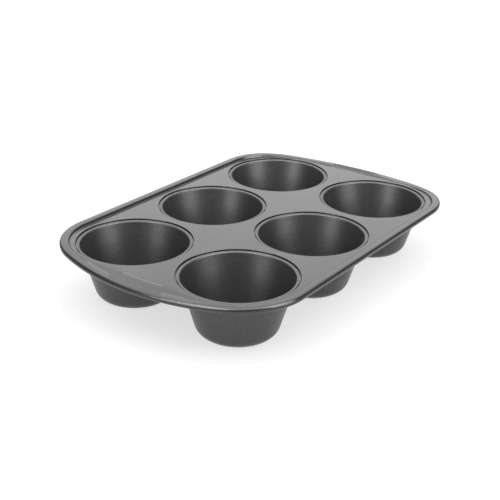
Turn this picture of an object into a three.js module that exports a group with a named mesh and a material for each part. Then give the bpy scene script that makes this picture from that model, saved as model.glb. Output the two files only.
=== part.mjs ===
// Jumbo muffin pan: a pressed sheet tray with a raised, rolled border and six deep drawn cups.
// Millimetres, +Z up, X along the pan. The cups stand on z = 0, and the pan is centred on x = y = 0.

import * as THREE from 'three';
import { mergeVertices } from 'three/addons/utils/BufferGeometryUtils.js';

// Cup grid: the lands are the strips of deck left between neighbouring seats
const CUP_COLUMNS = ['left', 'middle', 'right'];
const CUP_ROWS = ['front', 'back'];
const COLUMN_LAND = 9;
const ROW_LAND = 10;

// Cup: the radii are of the outside of the wall, carried on to the flange top and to the base plane
const CUP_HEIGHT = 52.8;
const CUP_TOP_RADIUS = 50.5;
const CUP_BASE_RADIUS = 35;
const CUP_BASE_FILLET = 12.8;
const CUP_SHEET = 0.6;
const CUP_FLANGE_WIDTH = 2.7;

// Seat of a cup in the tray: a stepped ledge under the flange and a collar round the wall
const SEAT_RECESS = 1.7;
const SEAT_GAP = 0.3;
const COLLAR_BEND = 0.6;
const COLLAR_DEPTH = 5;

// Tray sheet, and the strips of deck left between the seats and the border
const TRAY_SHEET = 0.8;
const SIDE_STRIP = 5.3;
const END_STRIP = 5.2;

// Border: a step up from the deck, a flat flange and a rolled bead round a wire
const STEP_HEIGHT = 2.7;
const STEP_RUN = 1.4;
const FLANGE_WIDTH = 5.4;
const WIRE_RADIUS = 1.7;
const WIRE_GAP = 0.3;
const BEAD_WRAP = THREE.MathUtils.degToRad(260);

// Plan of the border, along the middle of the bead
const CORNER_RADIUS = 58.5;
const END_BOW = 33.3;

// Handle panel in the middle of each end
const PANEL_WIDTH = 53;
const PANEL_REACH = 8;
const PANEL_STEP_RUN = 3;
const PANEL_JOG = 4;

// Fall of the ends: the border droops, and the deck folds down a little way outside the seats
const END_DROOP = 3.7;
const DROOP_LENGTH = 50;
const FOLD_LAND = 1;
const FOLD_ANGLE = THREE.MathUtils.degToRad(5.5);

// Facets
const CUP_SEGMENTS = 32;
const BASE_FILLET_STEPS = 3;
const LIP_STEPS = 2;
const BEAD_STEPS = 8;
const WIRE_SIDES = 8;
const SIDE_STEPS = 6;
const CORNER_STEPS = 8;
const END_STEPS = 4;
const JOG_STEPS = 2;
const PANEL_STEPS = 4;
const WELD_DISTANCE = 1e-4;

const coating = { color: 0x4a4a4c, roughness: 0.42, metalness: 0.55 };
const trayMaterial = new THREE.MeshStandardMaterial(coating);
const cupMaterial = new THREE.MeshStandardMaterial(coating);
const wireMaterial = new THREE.MeshStandardMaterial({ color: 0x9a9ca0, roughness: 0.35, metalness: 1 });

// Heights and radii that follow from the driving sizes
const deckTop = CUP_HEIGHT + SEAT_RECESS;
const flangeTop = deckTop + STEP_HEIGHT;
const beadRadius = WIRE_RADIUS + WIRE_GAP + TRAY_SHEET;
const beadHeight = flangeTop - beadRadius;
const wallTilt = Math.atan2(CUP_TOP_RADIUS - CUP_BASE_RADIUS, CUP_HEIGHT);
const flangeRadius = CUP_TOP_RADIUS + CUP_FLANGE_WIDTH;
const lipRadius = COLLAR_BEND + SEAT_GAP + CUP_SHEET;
const seatRadius = flangeRadius + SEAT_GAP;
const columnPitch = 2 * seatRadius + COLUMN_LAND;
const rowPitch = 2 * seatRadius + ROW_LAND;
const columnX = CUP_COLUMNS.map((_, i) => (i - (CUP_COLUMNS.length - 1) / 2) * columnPitch);
const rowY = CUP_ROWS.map((_, j) => (j - (CUP_ROWS.length - 1) / 2) * rowPitch);
const lastColumn = columnX[columnX.length - 1];
const lastRow = rowY[rowY.length - 1];

// Plan of the bead: straight sides, bowed ends and round corners
const borderWidth = STEP_RUN + FLANGE_WIDTH;
const halfWidth = lastRow + seatRadius + SIDE_STRIP + borderWidth;
const endRadius = (halfWidth ** 2 + END_BOW ** 2) / (2 * END_BOW);
const bowAt = (y) => endRadius - Math.sqrt(endRadius ** 2 - y ** 2);
const halfLength = lastColumn + seatRadius + END_STRIP + borderWidth + bowAt(lastRow);
const endCentre = halfLength - endRadius;
const cornerY = halfWidth - CORNER_RADIUS;
const cornerX = endCentre + Math.sqrt((endRadius - CORNER_RADIUS) ** 2 - cornerY ** 2);
const cornerAngle = Math.atan2(cornerY, cornerX - endCentre);

// Radius at height z of a cone that lies a distance outside the cup's outer wall
function wallRadius(z, outside) {
  return CUP_BASE_RADIUS + z * Math.tan(wallTilt) + outside / Math.cos(wallTilt);
}

// Points of an arc that rounds the corner b of the polyline a, b, c
function roundCorner(a, b, c, radius, steps) {
  const toA = a.clone().sub(b).normalize();
  const toC = c.clone().sub(b).normalize();
  const half = Math.acos(THREE.MathUtils.clamp(toA.dot(toC), -1, 1)) / 2;
  const centre = toA.clone().add(toC).normalize().multiplyScalar(radius / Math.sin(half)).add(b);
  const start = toA.multiplyScalar(radius / Math.tan(half)).add(b).sub(centre);
  const end = toC.multiplyScalar(radius / Math.tan(half)).add(b).sub(centre);
  const sweep = Math.atan2(start.cross(end), start.dot(end));
  const origin = new THREE.Vector2();
  return Array.from({ length: steps + 1 }, (_, i) =>
    start.clone().rotateAround(origin, (sweep * i) / steps).add(centre));
}

// How far the border lies lower towards the two ends
function borderFall(x) {
  const past = Math.max(0, Math.abs(x) - (halfLength - DROOP_LENGTH));
  return END_DROOP * (past / DROOP_LENGTH) ** 2;
}

// How far the deck lies lower outside its fold
function deckFall(x) {
  return Math.max(0, Math.abs(x) - (lastColumn + seatRadius + FOLD_LAND)) * Math.tan(FOLD_ANGLE);
}

// A piece of sheet metal gathered as triangles, whose shared vertices are merged at the end
class Skin {
  constructor() {
    this.positions = [];
  }

  triangle(...corners) {
    corners.forEach((p) => this.positions.push(p.x, p.y, p.z));
  }

  // Joins each loop of points to the next one
  loops(list) {
    for (let k = 0; k + 1 < list.length; k++) {
      const a = list[k];
      const b = list[k + 1];
      a.forEach((_, i) => {
        const n = (i + 1) % a.length;
        this.triangle(a[i], b[i], b[n]);
        this.triangle(a[i], b[n], a[n]);
      });
    }
  }

  // Fills the space inside a loop and outside its hole loops, facing up or down
  plate(outer, holes, up) {
    const points = [outer, ...holes].flat();
    const faces = THREE.ShapeUtils.triangulateShape(outer, holes);
    faces.forEach(([a, b, c]) => {
      const corners = [points[a], points[b], points[c]];
      this.triangle(...(up ? corners : corners.reverse()));
    });
  }

  geometry() {
    const geometry = new THREE.BufferGeometry();
    geometry.setAttribute('position', new THREE.Float32BufferAttribute(this.positions, 3));
    const merged = mergeVertices(geometry, WELD_DISTANCE);
    merged.computeVertexNormals();
    return merged;
  }
}

// Stations round the middle of the bead, anticlockwise, each with its way out and its share of the panel
function borderStations() {
  const stations = [];
  const add = (x, y, angle) => {
    const jog = (PANEL_WIDTH / 2 + PANEL_JOG / 2 - Math.abs(y)) / PANEL_JOG;
    const onEnd = Math.abs(Math.cos(angle)) > Math.cos(cornerAngle);
    const panel = onEnd ? THREE.MathUtils.clamp(jog, 0, 1) : 0;
    stations.push({ x, y, out: new THREE.Vector2(Math.cos(angle), Math.sin(angle)), panel });
  };
  const arc = (centreX, centreY, radius, from, to, steps) => {
    for (let i = 0; i < steps; i++) {
      const angle = from + ((to - from) * i) / steps;
      add(centreX + radius * Math.cos(angle), centreY + radius * Math.sin(angle), angle);
    }
  };
  const jogOuter = Math.asin((PANEL_WIDTH + PANEL_JOG) / 2 / endRadius);
  const jogInner = Math.asin((PANEL_WIDTH - PANEL_JOG) / 2 / endRadius);
  const endAngles = [-cornerAngle, -jogOuter, -jogInner, jogInner, jogOuter, cornerAngle];
  const endSteps = [END_STEPS, JOG_STEPS, PANEL_STEPS, JOG_STEPS, END_STEPS];
  [1, -1].forEach((side) => {
    const turn = side > 0 ? 0 : Math.PI;
    endSteps.forEach((steps, k) =>
      arc(side * endCentre, 0, endRadius, turn + endAngles[k], turn + endAngles[k + 1], steps));
    arc(side * cornerX, side * cornerY, CORNER_RADIUS, turn + cornerAngle, turn + Math.PI / 2, CORNER_STEPS);
    for (let i = 0; i < SIDE_STEPS; i++) {
      add(side * cornerX * (1 - (2 * i) / SIDE_STEPS), side * halfWidth, turn + Math.PI / 2);
    }
    arc(-side * cornerX, side * cornerY, CORNER_RADIUS, turn + Math.PI / 2, turn + Math.PI - cornerAngle,
      CORNER_STEPS);
  });
  return stations;
}

// Upper face of the border in section: distance out from the bead's middle, and height
function borderSection(panel) {
  const crest = FLANGE_WIDTH + panel * PANEL_REACH;
  const toe = crest + THREE.MathUtils.lerp(STEP_RUN, PANEL_STEP_RUN, panel);
  const section = [new THREE.Vector2(-toe, deckTop), new THREE.Vector2(-crest, flangeTop)];
  for (let i = 0; i <= BEAD_STEPS; i++) {
    const angle = Math.PI / 2 - (BEAD_WRAP * i) / BEAD_STEPS;
    section.push(new THREE.Vector2(
      beadRadius * Math.cos(angle),
      beadHeight + beadRadius * Math.sin(angle)));
  }
  return section;
}

// The same line moved one sheet thickness to its right; it starts level, as the deck is
function sheetBelow(line, thickness) {
  const right = (a, b) => new THREE.Vector2(b.y - a.y, a.x - b.x).normalize();
  const level = new THREE.Vector2(0, -1);
  return line.map((p, i) => {
    const before = i > 0 ? right(line[i - 1], p) : level;
    const after = i + 1 < line.length ? right(p, line[i + 1]) : before;
    const mitre = before.clone().add(after).multiplyScalar(thickness / (1 + before.dot(after)));
    return mitre.add(p);
  });
}

function stationPoint(station, point, fall) {
  const x = station.x + station.out.x * point.x;
  const y = station.y + station.out.y * point.x;
  return new THREE.Vector3(x, y, point.y - fall(x));
}

// Loops along all the stations, one for each point of the section; the first lies on the deck
function borderLoops(stations, lines) {
  return lines[0].map((_, k) =>
    stations.map((station, i) => stationPoint(station, lines[i][k], k === 0 ? deckFall : borderFall)));
}

// Loop of a seat, clockwise seen from above, at a radius and a height
function seatLoop(centre, radius, z) {
  return Array.from({ length: CUP_SEGMENTS }, (_, i) => {
    const angle = (-2 * Math.PI * i) / CUP_SEGMENTS;
    return new THREE.Vector3(centre.x + radius * Math.cos(angle), centre.y + radius * Math.sin(angle), z);
  });
}

// Seat in section, from the deck's upper face down to the collar's foot and back up to its lower face
function seatSection() {
  const ledge = CUP_HEIGHT - CUP_SHEET - SEAT_GAP;
  const foot = CUP_HEIGHT - COLLAR_DEPTH;
  const under = ledge - TRAY_SHEET;
  const outerRadius = seatRadius + TRAY_SHEET;
  const wall = (z, outside) => new THREE.Vector2(wallRadius(z, outside), z);
  const step = new THREE.Vector2(seatRadius, ledge);
  const inner = roundCorner(step, wall(ledge, SEAT_GAP), wall(foot, SEAT_GAP), COLLAR_BEND, 1);
  return [
    new THREE.Vector2(seatRadius, deckTop),
    step,
    ...inner,
    wall(foot, SEAT_GAP),
    wall(foot, SEAT_GAP + TRAY_SHEET),
    wall(under, SEAT_GAP + TRAY_SHEET),
    new THREE.Vector2(outerRadius, under),
    new THREE.Vector2(outerRadius, deckTop - TRAY_SHEET),
  ];
}

function trayGeometry(stations) {
  const skin = new Skin();
  const sections = stations.map((station) => borderSection(station.panel));
  const upper = borderLoops(stations, sections);
  const lower = borderLoops(stations, sections.map((line) => sheetBelow(line, TRAY_SHEET)));
  skin.loops([...upper, ...lower.slice().reverse()]);

  const seat = seatSection();
  const upperHoles = [];
  const lowerHoles = [];
  columnX.forEach((x) => rowY.forEach((y) => {
    const centre = new THREE.Vector2(x, y);
    const loops = seat.map((p) => seatLoop(centre, p.x, p.y));
    skin.loops(loops);
    upperHoles.push(loops[0]);
    lowerHoles.push(loops[loops.length - 1]);
  }));
  skin.plate(upper[0], upperHoles, true);
  skin.plate(lower[0], lowerHoles, false);
  return skin.geometry();
}

function wireGeometry(stations) {
  const skin = new Skin();
  const loops = Array.from({ length: WIRE_SIDES + 1 }, (_, k) => {
    const angle = (-2 * Math.PI * k) / WIRE_SIDES;
    const point = new THREE.Vector2(
      WIRE_RADIUS * Math.cos(angle),
      beadHeight + WIRE_RADIUS * Math.sin(angle));
    return stations.map((station) => stationPoint(station, point, borderFall));
  });
  skin.loops(loops);
  return skin.geometry();
}

// Cup in section: up the outside from the middle of the base, over the flange and down the inside
function cupGeometry() {
  const point = (r, z) => new THREE.Vector2(r, z);
  const outer = (z) => point(wallRadius(z, 0), z);
  const inner = (z) => point(wallRadius(z, -CUP_SHEET), z);
  const flangeUnder = CUP_HEIGHT - CUP_SHEET;
  const outerFoot = roundCorner(point(0, 0), outer(0), outer(CUP_HEIGHT), CUP_BASE_FILLET, BASE_FILLET_STEPS);
  const innerFoot = roundCorner(inner(CUP_HEIGHT), inner(CUP_SHEET), point(0, CUP_SHEET),
    CUP_BASE_FILLET - CUP_SHEET, BASE_FILLET_STEPS);
  const lipUnder = roundCorner(outer(0), outer(flangeUnder), point(flangeRadius, flangeUnder),
    lipRadius - CUP_SHEET, 1);
  const lip = roundCorner(point(flangeRadius, CUP_HEIGHT), inner(CUP_HEIGHT), inner(0), lipRadius, LIP_STEPS);
  const profile = [
    point(0, 0),
    ...outerFoot,
    ...lipUnder,
    point(flangeRadius, flangeUnder),
    point(flangeRadius, CUP_HEIGHT),
    ...lip,
    ...innerFoot,
    point(0, CUP_SHEET),
  ];
  const geometry = new THREE.LatheGeometry(profile, CUP_SEGMENTS);
  geometry.rotateX(Math.PI / 2);
  return geometry;
}

function named(name, geometry, material) {
  const mesh = new THREE.Mesh(geometry, material);
  mesh.name = name;
  return mesh;
}

const muffinPan = new THREE.Group();
muffinPan.name = 'jumbo_muffin_pan';

const stations = borderStations();
muffinPan.add(named('tray', trayGeometry(stations), trayMaterial));
muffinPan.add(named('rim_wire', wireGeometry(stations), wireMaterial));

const cups = new THREE.Group();
cups.name = 'cups';
const cupShape = cupGeometry();
CUP_COLUMNS.forEach((column, i) => CUP_ROWS.forEach((row, j) => {
  const cup = named(`cup_${column}_${row}`, cupShape, cupMaterial);
  cup.position.set(columnX[i], rowY[j], 0);
  cups.add(cup);
}));
muffinPan.add(cups);

export default muffinPan;
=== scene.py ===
"""Looks of the jumbo muffin pan: a coated sheet tray, six drawn cups and the wire in its rolled rim."""

import math

import bmesh
import bpy
from mathutils import Euler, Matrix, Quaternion, Vector


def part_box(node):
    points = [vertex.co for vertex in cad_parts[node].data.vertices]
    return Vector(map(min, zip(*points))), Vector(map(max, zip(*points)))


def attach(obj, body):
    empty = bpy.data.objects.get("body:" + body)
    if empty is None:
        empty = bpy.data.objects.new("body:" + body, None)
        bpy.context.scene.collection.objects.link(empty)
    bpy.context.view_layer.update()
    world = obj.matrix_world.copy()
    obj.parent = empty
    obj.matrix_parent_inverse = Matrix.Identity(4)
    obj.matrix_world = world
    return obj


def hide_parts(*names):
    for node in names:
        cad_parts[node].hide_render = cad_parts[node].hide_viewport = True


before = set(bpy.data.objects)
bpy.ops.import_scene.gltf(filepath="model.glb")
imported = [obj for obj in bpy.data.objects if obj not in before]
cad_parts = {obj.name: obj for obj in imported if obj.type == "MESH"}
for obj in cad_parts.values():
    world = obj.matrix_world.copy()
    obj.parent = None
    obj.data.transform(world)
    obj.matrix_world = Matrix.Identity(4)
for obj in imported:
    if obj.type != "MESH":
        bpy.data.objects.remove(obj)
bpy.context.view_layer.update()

# Shapes are drawn in millimetres and brought to metres when they are finished
MM = 0.001

# Cups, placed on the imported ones: the radii are of the wall's outside, at WALL_HEIGHT and at the base
CUP_NODES = sorted(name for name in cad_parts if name.startswith("cup_"))
CUP_HEIGHT = 53.2
WALL_HEIGHT = 52.8
CUP_TOP_RADIUS = 50.5
CUP_BASE_RADIUS = 35.0
CUP_SHEET = 0.6
BASE_FILLET = 12.8

# Lip of a cup: a ring that rises a little towards its free edge
CUP_FLANGE_RADIUS = 52.8
RING_SLOPE = math.tan(math.radians(4))
LIP_FILLET = 1.6
EDGE_FILLET = 0.25

# Faint line pressed into the wall of a cup below its lip
IMPRINT_BELOW_LIP = 5.0
IMPRINT_WIDTH = 1.2
IMPRINT_DEPTH = 0.04

# Deck of the tray, and the seats of the cups in it
DECK_TOP = 54.4
TRAY_SHEET = 0.6
SEAT_RADIUS = 53.8
SEAT_GAP = 0.3
SEAT_FILLET = 0.62
SEAT_ROOT_FILLET = 0.4
COLLAR_DEPTH = 5.0

# The deck is drawn in six cells, one round each cup: CELL_X is the line between two columns of cups,
# and DECK_MARGIN the strip of deck that is drawn with the border
CELL_X = 58.0
DECK_MARGIN = 0.95

# Plan of the border, along the middle of the bead: straight sides, bowed ends and round corners
HALF_WIDTH = 124.1
HALF_LENGTH = 188.5
END_BOW = 33.3
CORNER_RADIUS = 58.5
END_RADIUS = (HALF_WIDTH ** 2 + END_BOW ** 2) / (2 * END_BOW)
END_CENTRE = HALF_LENGTH - END_RADIUS
CORNER_Y = HALF_WIDTH - CORNER_RADIUS
CORNER_X = END_CENTRE + math.sqrt((END_RADIUS - CORNER_RADIUS) ** 2 - CORNER_Y ** 2)
CORNER_ANGLE = math.atan2(CORNER_Y, CORNER_X - END_CENTRE)

# Section of the border: toe, crest and ridge are distances in from the middle of the bead
FLANGE_TOP = 57.2
BORDER_TOE = 6.5
SIDE_CREST = 5.4
END_CREST = 4.2
TOE_FILLET = 1.0
CREST_FILLET = 1.7
RIDGE = 2.2
RIDGE_RISE = 0.2
BEAD_RADIUS = 2.8
BEAD_WRAP = math.radians(260)
WIRE_RADIUS = 1.7

# Ends of the tray: the step is low there, the border droops and the deck folds down
END_RISE = 0.28
END_FLAT = 45.0
END_BLEND = 40.0
END_DROOP = 3.7
DROOP_LENGTH = 50.0
FOLD_X = 170.5
FOLD_BLEND = 4.0
FOLD_SLOPE = math.tan(math.radians(6.4))

# Handle panel in the middle of each end
PANEL_HALF = 26.5
PANEL_CREST = 13.4
PANEL_TOE = 16.4
PANEL_RISE = 0.34
PANEL_JOG = 9.0

# Fineness of the curved pieces: DECK_SHARES place the deck's loops on the way out from a seat
FILLET_STEPS = 5
FILLET_LEAD = 0.12
CUP_FILLET_STEPS = 10
CUP_STEPS = 128
BEAD_STEPS = 26
WIRE_SIDES = 16
PANEL_STEPS = 8
JOG_STEPS = 12
END_STEPS = 22
CORNER_STEPS = 24
SIDE_STEPS = 14
MIDDLE_STEPS = 24
CROSS_STEPS = 28
LENGTH_STEPS = 28
DECK_SHARES = (0.72, 0.44, 0.18, 0.0)
WELD_DISTANCE = 0.001
SHARP_ANGLE = math.radians(48)

# Nonstick coating of the tray and the cups: scales of patterns are per metre, and pairs are ranges
TRAY_TONE = (0.070, 0.070, 0.0716, 1.0)
TRAY_ROUGHNESS = 0.2
CUP_TONE = (0.090, 0.090, 0.0921, 1.0)
CUP_ROUGHNESS = 0.38
COATING_METALLIC = 0.9
COATING_IOR = 1.45
MOTTLE_SCALE = 22.0
MOTTLE_DETAIL = 3.0
MOTTLE_TONES = (0.95, 1.05)
FLAKE_SCALE = 1300.0
FLAKE_TONES = (0.84, 1.16)
PEEL_SCALE = 900.0
PEEL_DETAIL = 2.0
PEEL_ROUGHNESS = (0.92, 1.08)
PEEL_STRENGTH = 0.12
PEEL_DEPTH = 0.06 * MM
NOISE_RANGE = (0.3, 0.7)
WHOLE_RANGE = (0.0, 1.0)

# Bare steel of the wire
STEEL_DARK_TONE = (0.32, 0.325, 0.335, 1.0)
STEEL_LIGHT_TONE = (0.52, 0.525, 0.535, 1.0)
STEEL_ROUGHNESS = (0.25, 0.45)
DRAW_MARK_SCALE = 400.0
DRAW_MARK_DETAIL = 3.0

# Camera where the photo was taken, past the near left corner: the middle of the deck, CAMERA_AIM high,
# lies CAMERA_OFFSET to the right and up of the middle of the picture
CAMERA_AZIMUTH = math.radians(-54.80)
CAMERA_ELEVATION = math.radians(23.99)
CAMERA_ROLL = math.radians(1.19)
CAMERA_DISTANCE = 0.9562
CAMERA_SENSOR = 36.0
CAMERA_LENS = 71.06
CAMERA_AIM = 0.0545
CAMERA_OFFSET = (0.01011, 0.03103)

# Light in radiances, where 1 is white: soft boxes in metres, turned in degrees from the camera's side
SOFT_BOXES = (
    dict(name="back_light", turn=180, elevation=36, distance=2.0, width=3.0, height=1.65, radiance=1.68),
    dict(name="top_light", turn=0, elevation=86, distance=1.9, width=3.0, height=2.35, radiance=2.7),
    dict(name="left_light", turn=-48, elevation=38, distance=1.7, width=0.8, height=1.7, radiance=4.5),
    dict(name="right_light", turn=62, elevation=38, distance=1.7, width=1.15, height=1.7, radiance=4.3))
ROOM_LIGHT = 0.25
CEILING_LIGHT = 0.5
WHITE = (1.0, 1.0, 1.0, 1.0)

# Pale floor: half of its side in metres, and the radiance that lifts it to white
FLOOR_HALF = 30.0
FLOOR_TONE = 0.22
FLOOR_LIFT = 0.66
FLOOR_ROUGHNESS = 0.9


def mixed(first, second, share):
    return first + (second - first) * share


def smooth_share(value):
    """Eases from 0 to 1 and stays there."""
    value = min(1.0, max(0.0, value))
    return value * value * (3.0 - 2.0 * value)


def border_fall(x):
    """How far the border lies lower towards the two ends."""
    past = max(0.0, abs(x) - (HALF_LENGTH - DROOP_LENGTH))
    return END_DROOP * (past / DROOP_LENGTH) ** 2


def deck_height(x):
    """Upper face of the deck, which bends softly down outside the seats."""
    past = max(0.0, abs(x) - FOLD_X)
    bent = past ** 2 / (2 * FOLD_BLEND) if past < FOLD_BLEND else past - FOLD_BLEND / 2
    return DECK_TOP - FOLD_SLOPE * bent


def corner_arc(a, b, c, radius, steps):
    """Points of the arc that rounds corner b of the line a, b, c."""
    to_a = (a - b).normalized()
    to_c = (c - b).normalized()
    half = to_a.angle(to_c) / 2
    centre = b + (to_a + to_c).normalized() * (radius / math.sin(half))
    start = b + to_a * (radius / math.tan(half)) - centre
    end = b + to_c * (radius / math.tan(half)) - centre
    sweep = start.angle_signed(end)
    turned = []
    for i in range(steps + 1):
        angle = -sweep * i / steps
        turned.append(centre + Vector((
            start.x * math.cos(angle) - start.y * math.sin(angle),
            start.x * math.sin(angle) + start.y * math.cos(angle))))
    return turned


def rounded(corners, steps=FILLET_STEPS):
    """A line through the corners (x, z, radius), with a short straight lead on both sides of each arc."""
    points = [Vector((x, z)) for x, z, radius in corners]
    radii = [radius for x, z, radius in corners]
    line = [points[0]]
    for before, here, after, radius in zip(points, points[1:], points[2:], radii[1:]):
        if radius == 0:
            line.append(here)
            continue
        arc = corner_arc(before, here, after, radius, steps)
        line.append(arc[0] + (before - here).normalized() * FILLET_LEAD)
        line.extend(arc)
        line.append(arc[-1] + (after - here).normalized() * FILLET_LEAD)
    line.append(points[-1])
    return line


def middle(node):
    """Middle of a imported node, in millimetres."""
    low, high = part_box(node)
    return (low + high) / 2 / MM


def linked(name, data):
    """A new object in the scene."""
    made = bpy.data.objects.new(name, data)
    bpy.context.scene.collection.objects.link(made)
    return made


def finish_piece(bm, name, node, material):
    """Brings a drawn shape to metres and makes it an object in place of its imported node."""
    bmesh.ops.scale(bm, vec=(MM, MM, MM), verts=bm.verts)
    mesh = bpy.data.meshes.new(name)
    bm.to_mesh(mesh)
    bm.free()
    for polygon in mesh.polygons:
        polygon.use_smooth = True
    mesh.set_sharp_from_angle(angle=SHARP_ANGLE)
    mesh.materials.append(material)
    piece = linked(name, mesh)
    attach(piece, "root")
    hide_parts(node)


def closed_line(bm, verts):
    """Edges that join the vertices to a ring."""
    return [bm.edges.new(pair) for pair in zip(verts, verts[1:] + verts[:1])]


def extruded(bm, ring, place):
    """Extrudes a ring of edges, puts each new vertex where place says, and returns the new ring."""
    old = set(ring)
    made = bmesh.ops.extrude_edge_only(bm, edges=ring)["geom"]
    for vert in made:
        if isinstance(vert, bmesh.types.BMVert):
            vert.co = place(vert)
    edges = [edge for edge in made if isinstance(edge, bmesh.types.BMEdge)]
    return [edge for edge in edges if edge.is_boundary and edge not in old]


def station(x, y, angle, on_end):
    """A place on the middle of the bead, whose z is its share of the handle panel, and the way out."""
    panel = smooth_share((PANEL_HALF + PANEL_JOG / 2 - abs(y)) / PANEL_JOG) if on_end else 0.0
    return Vector((x, y, panel)), Vector((math.cos(angle), math.sin(angle), 0.0))


def quarter_stations():
    """From the middle of the right end, round the back corner, to the line between two columns of cups."""
    stations = []
    jog_in = math.asin((PANEL_HALF - PANEL_JOG / 2) / END_RADIUS)
    jog_out = math.asin((PANEL_HALF + PANEL_JOG / 2) / END_RADIUS)
    spans = ((0.0, jog_in, PANEL_STEPS), (jog_in, jog_out, JOG_STEPS), (jog_out, CORNER_ANGLE, END_STEPS))
    for start, stop, steps in spans:
        for i in range(steps):
            angle = mixed(start, stop, i / steps)
            x = END_CENTRE + END_RADIUS * math.cos(angle)
            stations.append(station(x, END_RADIUS * math.sin(angle), angle, True))
    for i in range(CORNER_STEPS):
        angle = mixed(CORNER_ANGLE, math.pi / 2, i / CORNER_STEPS)
        x = CORNER_X + CORNER_RADIUS * math.cos(angle)
        stations.append(station(x, CORNER_Y + CORNER_RADIUS * math.sin(angle), angle, False))
    for i in range(SIDE_STEPS + 1):
        x = mixed(CORNER_X, CELL_X, i / SIDE_STEPS)
        stations.append(station(x, HALF_WIDTH, math.pi / 2, False))
    return stations


def mirrored(stations, side_x, side_y):
    """The same stations on another side of the tray, where 1 keeps a side and -1 changes it."""
    flip = Vector((side_x, side_y, 1.0))
    return [(place * flip, out * flip) for place, out in stations]


def middle_stations(side_y):
    """The straight border beside the middle cup, from right to left."""
    stations = []
    for i in range(MIDDLE_STEPS + 1):
        x = mixed(CELL_X, -CELL_X, i / MIDDLE_STEPS)
        stations.append(station(x, HALF_WIDTH, math.pi / 2, False))
    return mirrored(stations, 1.0, side_y)


def round_trip():
    """All the stations once, anticlockwise."""
    quarter = quarter_stations()
    back = quarter + middle_stations(1)[1:-1] + mirrored(quarter, -1, 1)[::-1]
    front = mirrored(quarter, -1, -1)[1:] + middle_stations(-1)[::-1][1:-1]
    return back + front + mirrored(quarter, 1, -1)[::-1][:-1]


def border_section(place, out):
    """Upper face of the border at a station: distance out from the middle of the bead, and height."""
    end = smooth_share((END_FLAT + END_BLEND - abs(place.y)) / END_BLEND)
    crest = mixed(mixed(SIDE_CREST, END_CREST, end), PANEL_CREST, place.z)
    toe = mixed(BORDER_TOE, PANEL_TOE, place.z)
    start = toe + DECK_MARGIN
    toe_height = deck_height(place.x - out.x * toe)
    top = FLANGE_TOP - border_fall(place.x)
    crest_height = mixed(
        FLANGE_TOP - RIDGE_RISE - border_fall(place.x - out.x * crest),
        toe_height + mixed(END_RISE, PANEL_RISE, place.z), end)
    ridge_height = mixed(
        FLANGE_TOP - border_fall(place.x - out.x * RIDGE),
        mixed(top, crest_height, RIDGE / crest), end)
    line = rounded((
        (-start, deck_height(place.x - out.x * start), 0),
        (-toe, toe_height, TOE_FILLET),
        (-crest, crest_height, CREST_FILLET),
        (-RIDGE, ridge_height, 0),
        (0, top, 0)))
    for i in range(1, BEAD_STEPS + 1):
        angle = math.pi / 2 - BEAD_WRAP * i / BEAD_STEPS
        rise = BEAD_RADIUS * math.sin(angle) - BEAD_RADIUS
        line.append(Vector((BEAD_RADIUS * math.cos(angle), top + rise)))
    return line


def wall_radius(z, outside):
    """Radius at height z of a cone that lies a distance outside the wall of a cup."""
    tilt = math.atan2(CUP_TOP_RADIUS - CUP_BASE_RADIUS, WALL_HEIGHT)
    return CUP_BASE_RADIUS + z * math.tan(tilt) + outside / math.cos(tilt)


def seat_section():
    """From the deck over its rounded edge, down the step, along the ledge and down the collar."""
    ledge = CUP_HEIGHT - CUP_SHEET - SEAT_GAP
    foot = CUP_HEIGHT - COLLAR_DEPTH
    return rounded((
        (SEAT_RADIUS + SEAT_FILLET + 2 * FILLET_LEAD, DECK_TOP, 0),
        (SEAT_RADIUS, DECK_TOP, SEAT_FILLET),
        (SEAT_RADIUS, ledge, SEAT_ROOT_FILLET),
        (wall_radius(ledge, SEAT_GAP), ledge, SEAT_FILLET),
        (wall_radius(foot, SEAT_GAP), foot, 0)))


def straight(start, end, steps):
    """Inner points of a line between two cells."""
    return [(start.lerp(end, i / steps), None, None) for i in range(1, steps)]


def cell_ring(centre):
    """Closed line round the deck's share of one cup: border points hold their station, inner ones none."""
    side_x = 0 if abs(centre.x) < CELL_X else math.copysign(1, centre.x)
    side_y = math.copysign(1, centre.y)
    border = middle_stations(side_y) if side_x == 0 else mirrored(quarter_stations(), side_x, side_y)
    ring = []
    for place, out in border:
        start = border_section(place, out)[0]
        ring.append((place.xy + out.xy * start.x, place, out))
    first, last = ring[0][0], ring[-1][0]
    if side_x == 0:
        left, right = Vector((last.x, 0.0)), Vector((first.x, 0.0))
        ring += straight(last, left, CROSS_STEPS) + [(left, None, None)]
        ring += straight(left, right, MIDDLE_STEPS) + [(right, None, None)]
        ring += straight(right, first, CROSS_STEPS)
    else:
        inner = Vector((last.x, 0.0))
        ring += straight(last, inner, CROSS_STEPS) + [(inner, None, None)]
        ring += straight(inner, first, LENGTH_STEPS)
    return ring


def station_layers(bm):
    """Layers that hold a vertex's place on the bead and its way out."""
    place_layer = bm.verts.layers.float_vector.new("bead_place")
    out_layer = bm.verts.layers.float_vector.new("way_out")
    return place_layer, out_layer


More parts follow.
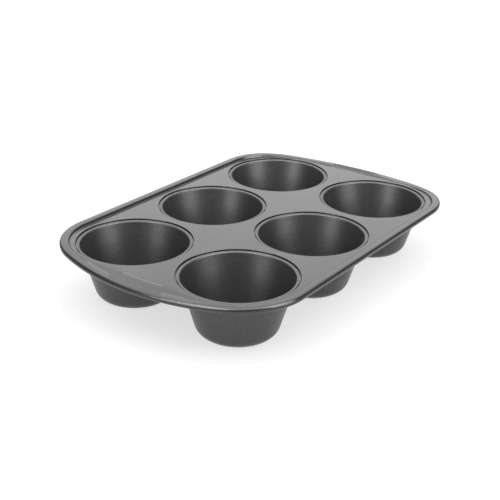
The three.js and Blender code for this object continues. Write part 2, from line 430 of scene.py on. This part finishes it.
def deck_round_cup(bm, layers, centre, seat):
    """Draws the deck's share of one cup, and the seat in it; returns the free edges of the collar."""
    place_layer, out_layer = layers
    verts = []
    for point, place, out in cell_ring(centre):
        vert = bm.verts.new((point.x, point.y, deck_height(point.x)))
        if place is not None:
            vert[place_layer] = place
            vert[out_layer] = out
        verts.append(vert)
    ring = closed_line(bm, verts)
    rim_radius = seat[0].x
    share_before = 1.0
    for share in DECK_SHARES:
        def on_deck(vert, ratio=share / share_before):
            ray = vert.co.xy - centre
            spot = centre + ray.normalized() * mixed(rim_radius, ray.length, ratio)
            return Vector((spot.x, spot.y, deck_height(spot.x)))
        ring = extruded(bm, ring, on_deck)
        share_before = share
    for radius, height in seat[1:]:
        def on_seat(vert, radius=radius, height=height):
            spot = centre + (vert.co.xy - centre).normalized() * radius
            return Vector((spot.x, spot.y, height))
        ring = extruded(bm, ring, on_seat)
    return ring


def build_tray(material):
    """Deck, seats, border and bead are drawn as one upper face, which then gets the sheet's thickness."""
    bm = bmesh.new()
    layers = station_layers(bm)
    place_layer, out_layer = layers
    seat = seat_section()
    collars = []
    for node in CUP_NODES:
        collars += deck_round_cup(bm, layers, middle(node).xy, seat)
    bmesh.ops.remove_doubles(bm, verts=bm.verts, dist=WELD_DISTANCE)
    holes = {edge for edge in collars if edge.is_valid}
    ring = [edge for edge in bm.edges if edge.is_boundary and edge not in holes]
    section_points = len(border_section(*quarter_stations()[0]))
    for k in range(1, section_points):
        def on_border(vert, k=k):
            place, out = vert[place_layer], vert[out_layer]
            point = border_section(place, out)[k]
            return Vector((place.x + out.x * point.x, place.y + out.y * point.x, point.y))
        ring = extruded(bm, ring, on_border)
    bmesh.ops.recalc_face_normals(bm, faces=bm.faces)
    if max(bm.faces, key=lambda face: face.calc_area()).normal.z < 0:
        bmesh.ops.reverse_faces(bm, faces=bm.faces)
    bmesh.ops.solidify(bm, geom=bm.faces, thickness=TRAY_SHEET)
    finish_piece(bm, "pressed_tray", "tray", material)


def build_wire(material):
    """A closed ring of round wire along the middle of the bead."""
    bm = bmesh.new()
    place_layer, out_layer = station_layers(bm)
    height = FLANGE_TOP - BEAD_RADIUS

    def on_wire(vert, angle):
        place, out = vert[place_layer], vert[out_layer]
        x = place.x + out.x * WIRE_RADIUS * math.cos(angle)
        y = place.y + out.y * WIRE_RADIUS * math.cos(angle)
        return Vector((x, y, height + WIRE_RADIUS * math.sin(angle) - border_fall(place.x)))

    verts = []
    for place, out in round_trip():
        vert = bm.verts.new()
        vert[place_layer] = place
        vert[out_layer] = out
        vert.co = on_wire(vert, 0.0)
        verts.append(vert)
    ring = closed_line(bm, verts)
    for k in range(1, WIRE_SIDES + 1):
        turn = 2 * math.pi * k / WIRE_SIDES
        ring = extruded(bm, ring, lambda vert, turn=turn: on_wire(vert, turn))
    bmesh.ops.remove_doubles(bm, verts=bm.verts, dist=WELD_DISTANCE)
    bmesh.ops.recalc_face_normals(bm, faces=bm.faces)
    finish_piece(bm, "rim_stiffening_wire", "rim_wire", material)


def cup_section():
    """Up the outside from the middle of the base, over the flange, and down the inside."""
    def outer(z):
        return wall_radius(z, 0.0)

    def inner(z, deeper=0.0):
        return wall_radius(z, deeper - CUP_SHEET)

    under = CUP_HEIGHT - CUP_SHEET
    raised = CUP_HEIGHT + (CUP_FLANGE_RADIUS - CUP_TOP_RADIUS) * RING_SLOPE
    outside = rounded((
        (0, 0, 0),
        (outer(0), 0, BASE_FILLET),
        (outer(under), under, LIP_FILLET - CUP_SHEET),
        (CUP_FLANGE_RADIUS, raised - CUP_SHEET, EDGE_FILLET),
        (CUP_FLANGE_RADIUS, raised - CUP_SHEET / 2, 0)), CUP_FILLET_STEPS)
    line = CUP_HEIGHT - IMPRINT_BELOW_LIP
    half = IMPRINT_WIDTH / 2
    inside = rounded((
        (CUP_FLANGE_RADIUS, raised - CUP_SHEET / 2, 0),
        (CUP_FLANGE_RADIUS, raised, EDGE_FILLET),
        (inner(CUP_HEIGHT), CUP_HEIGHT, LIP_FILLET),
        (inner(line + 2 * half), line + 2 * half, 0),
        (inner(line + half), line + half, 0),
        (inner(line, IMPRINT_DEPTH), line, 0),
        (inner(line - half), line - half, 0),
        (inner(line - 2 * half), line - 2 * half, 0),
        (inner(CUP_SHEET), CUP_SHEET, BASE_FILLET - CUP_SHEET),
        (0, CUP_SHEET, 0)), CUP_FILLET_STEPS)
    return outside + inside[1:]


def build_cup(node, material):
    """One cup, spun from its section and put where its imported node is."""
    bm = bmesh.new()
    verts = [bm.verts.new((point.x, 0.0, point.y)) for point in cup_section()]
    edges = [bm.edges.new(pair) for pair in zip(verts, verts[1:])]
    bmesh.ops.spin(bm, geom=verts + edges, cent=(0, 0, 0), axis=(0, 0, 1),
                   angle=2 * math.pi, steps=CUP_STEPS, use_merge=True)
    bmesh.ops.remove_doubles(bm, verts=bm.verts, dist=WELD_DISTANCE)
    bmesh.ops.recalc_face_normals(bm, faces=bm.faces)
    centre = middle(node)
    bmesh.ops.translate(bm, vec=(centre.x, centre.y, 0.0), verts=bm.verts)
    finish_piece(bm, "drawn_" + node, node, material)


def fresh_material(name):
    """A new material with the nodes and links of its tree, and its plain shader."""
    material = bpy.data.materials.new(name)
    material.use_nodes = True
    nodes, links = material.node_tree.nodes, material.node_tree.links
    return material, nodes, links, nodes["Principled BSDF"]


def noise(nodes, scale, detail):
    texture = nodes.new("ShaderNodeTexNoise")
    texture.inputs["Scale"].default_value = scale
    texture.inputs["Detail"].default_value = detail
    return texture


def ranged(nodes, links, value, given, wanted):
    """A value brought from the range that is given to the one that is wanted."""
    change = nodes.new("ShaderNodeMapRange")
    for socket, end in zip(("From Min", "From Max", "To Min", "To Max"), (*given, *wanted)):
        change.inputs[socket].default_value = end
    links.new(value, change.inputs["Value"])
    return change.outputs["Result"]


def joined(nodes, links, operation, first, second):
    """Two values put together by an operation of the Math node."""
    both = nodes.new("ShaderNodeMath")
    both.operation = operation
    links.new(first, both.inputs[0])
    links.new(second, both.inputs[1])
    return both.outputs["Value"]


def coating_grain():
    """Fine flakes and a slow mottling of a sprayed nonstick coating, shared by the tray and the cups."""
    group = bpy.data.node_groups.new("coating_grain", "ShaderNodeTree")
    group.interface.new_socket("Vector", in_out="INPUT", socket_type="NodeSocketVector")
    group.interface.new_socket("Tone", in_out="INPUT", socket_type="NodeSocketColor")
    group.interface.new_socket("Sheen Roughness", in_out="INPUT", socket_type="NodeSocketFloat")
    group.interface.new_socket("Color", in_out="OUTPUT", socket_type="NodeSocketColor")
    group.interface.new_socket("Roughness", in_out="OUTPUT", socket_type="NodeSocketFloat")
    group.interface.new_socket("Height", in_out="OUTPUT", socket_type="NodeSocketFloat")
    nodes, links = group.nodes, group.links
    given = nodes.new("NodeGroupInput")
    result = nodes.new("NodeGroupOutput")

    mottle = noise(nodes, MOTTLE_SCALE, MOTTLE_DETAIL)
    peel = noise(nodes, PEEL_SCALE, PEEL_DETAIL)
    flakes = nodes.new("ShaderNodeTexVoronoi")
    flakes.inputs["Scale"].default_value = FLAKE_SCALE
    for texture in (mottle, peel, flakes):
        links.new(given.outputs["Vector"], texture.inputs["Vector"])

    flake_value = nodes.new("ShaderNodeSeparateColor")
    links.new(flakes.outputs["Color"], flake_value.inputs["Color"])
    slow = ranged(nodes, links, mottle.outputs["Fac"], NOISE_RANGE, MOTTLE_TONES)
    quick = ranged(nodes, links, flake_value.outputs["Red"], WHOLE_RANGE, FLAKE_TONES)
    tint = nodes.new("ShaderNodeVectorMath")
    tint.operation = "SCALE"
    links.new(given.outputs["Tone"], tint.inputs[0])
    links.new(joined(nodes, links, "MULTIPLY", slow, quick), tint.inputs["Scale"])
    links.new(tint.outputs["Vector"], result.inputs["Color"])

    uneven = ranged(nodes, links, peel.outputs["Fac"], NOISE_RANGE, PEEL_ROUGHNESS)
    rough = joined(nodes, links, "MULTIPLY", given.outputs["Sheen Roughness"], uneven)
    links.new(rough, result.inputs["Roughness"])
    links.new(peel.outputs["Fac"], result.inputs["Height"])
    return group


def coated(name, grain, tone, roughness):
    """A dark grey nonstick finish that holds bright flakes."""
    material, nodes, links, shader = fresh_material(name)
    shader.inputs["Metallic"].default_value = COATING_METALLIC
    shader.inputs["IOR"].default_value = COATING_IOR
    place = nodes.new("ShaderNodeTexCoord")
    surface = nodes.new("ShaderNodeGroup")
    surface.node_tree = grain
    surface.inputs["Tone"].default_value = tone
    surface.inputs["Sheen Roughness"].default_value = roughness
    bump = nodes.new("ShaderNodeBump")
    bump.inputs["Strength"].default_value = PEEL_STRENGTH
    bump.inputs["Distance"].default_value = PEEL_DEPTH
    links.new(place.outputs["Object"], surface.inputs["Vector"])
    links.new(surface.outputs["Color"], shader.inputs["Base Color"])
    links.new(surface.outputs["Roughness"], shader.inputs["Roughness"])
    links.new(surface.outputs["Height"], bump.inputs["Height"])
    links.new(bump.outputs["Normal"], shader.inputs["Normal"])
    return material


def drawn_steel(name):
    """Bare wire with faint marks from drawing."""
    material, nodes, links, shader = fresh_material(name)
    shader.inputs["Metallic"].default_value = 1.0
    place = nodes.new("ShaderNodeTexCoord")
    marks = noise(nodes, DRAW_MARK_SCALE, DRAW_MARK_DETAIL)
    tone = nodes.new("ShaderNodeValToRGB")
    tone.color_ramp.elements[0].color = STEEL_DARK_TONE
    tone.color_ramp.elements[1].color = STEEL_LIGHT_TONE
    rough = ranged(nodes, links, marks.outputs["Fac"], WHOLE_RANGE, STEEL_ROUGHNESS)
    links.new(place.outputs["Object"], marks.inputs["Vector"])
    links.new(marks.outputs["Fac"], tone.inputs["Fac"])
    links.new(tone.outputs["Color"], shader.inputs["Base Color"])
    links.new(rough, shader.inputs["Roughness"])
    return material


def place_camera():
    """The camera of the photo, with its roll and its place in the picture."""
    data = bpy.data.cameras.new("photo_camera")
    data.sensor_width = CAMERA_SENSOR
    data.lens = CAMERA_LENS
    turn = Euler((math.pi / 2 - CAMERA_ELEVATION, 0.0, CAMERA_AZIMUTH)).to_quaternion()
    turn = turn @ Quaternion((0.0, 0.0, 1.0), CAMERA_ROLL)
    right = turn @ Vector((1.0, 0.0, 0.0))
    up = turn @ Vector((0.0, 1.0, 0.0))
    back = turn @ Vector((0.0, 0.0, 1.0))
    aim = Vector((0.0, 0.0, CAMERA_AIM))
    camera = linked("photo_camera", data)
    camera.rotation_mode = "QUATERNION"
    camera.rotation_quaternion = turn
    camera.location = aim + back * CAMERA_DISTANCE - right * CAMERA_OFFSET[0] - up * CAMERA_OFFSET[1]
    bpy.context.scene.camera = camera


def seen_directly(nodes, links):
    """1 for camera, glossy and transmission rays, and 0 for the light that surfaces throw on each other."""
    path = nodes.new("ShaderNodeLightPath")
    seen = path.outputs["Is Camera Ray"]
    for kind in ("Is Glossy Ray", "Is Transmission Ray"):
        seen = joined(nodes, links, "MAXIMUM", seen, path.outputs[kind])
    return seen


def lay_floor():
    """A pale floor that keeps the shadow, and is lifted to white where it is seen directly."""
    bm = bmesh.new()
    bmesh.ops.create_grid(bm, x_segments=1, y_segments=1, size=FLOOR_HALF)
    mesh = bpy.data.meshes.new("pale_floor")
    bm.to_mesh(mesh)
    bm.free()
    floor = linked("pale_floor", mesh)
    material, nodes, links, shader = fresh_material("pale_floor")
    shader.inputs["Base Color"].default_value = (FLOOR_TONE, FLOOR_TONE, FLOOR_TONE, 1.0)
    shader.inputs["Roughness"].default_value = FLOOR_ROUGHNESS
    shader.inputs["Specular IOR Level"].default_value = 0.0
    glow = nodes.new("ShaderNodeEmission")
    lift = ranged(nodes, links, seen_directly(nodes, links), WHOLE_RANGE, (0.0, FLOOR_LIFT))
    links.new(lift, glow.inputs["Strength"])
    total = nodes.new("ShaderNodeAddShader")
    links.new(shader.outputs["BSDF"], total.inputs[0])
    links.new(glow.outputs["Emission"], total.inputs[1])
    links.new(total.outputs["Shader"], nodes["Material Output"].inputs["Surface"])
    mesh.materials.append(material)


def soft_box(name, turn, elevation, distance, width, height, radiance):
    """A rectangular light that faces the pan, turned round it from the camera's side."""
    data = bpy.data.lights.new(name, "AREA")
    data.shape = "RECTANGLE"
    data.size = width
    data.size_y = height
    data.energy = radiance * math.pi * width * height
    azimuth = CAMERA_AZIMUTH + math.radians(turn)
    rise = math.radians(elevation)
    level = math.cos(rise)
    away = Vector((math.sin(azimuth) * level, -math.cos(azimuth) * level, math.sin(rise)))
    light = linked(name, data)
    light.location = away * distance
    light.rotation_mode = "QUATERNION"
    light.rotation_quaternion = away.to_track_quat("Z", "Y")


def light_room():
    """Soft boxes in a dim room that is lighter towards its ceiling."""
    world = bpy.data.worlds.new("studio")
    bpy.context.scene.world = world
    world.use_nodes = True
    nodes, links = world.node_tree.nodes, world.node_tree.links
    way = nodes.new("ShaderNodeTexCoord")
    height = nodes.new("ShaderNodeSeparateXYZ")
    links.new(way.outputs["Generated"], height.inputs["Vector"])
    fade = ranged(nodes, links, height.outputs["Z"], WHOLE_RANGE, (ROOM_LIGHT, CEILING_LIGHT))
    background = nodes["Background"]
    background.inputs["Color"].default_value = WHITE
    links.new(fade, background.inputs["Strength"])
    for box in SOFT_BOXES:
        soft_box(**box)


grain = coating_grain()
build_tray(coated("tray_coating", grain, TRAY_TONE, TRAY_ROUGHNESS))
cup_finish = coated("cup_coating", grain, CUP_TONE, CUP_ROUGHNESS)
for cup_node in CUP_NODES:
    build_cup(cup_node, cup_finish)
build_wire(drawn_steel("drawn_wire_steel"))

place_camera()
lay_floor()
light_room()

scene = bpy.context.scene
scene.view_settings.view_transform = "Standard"
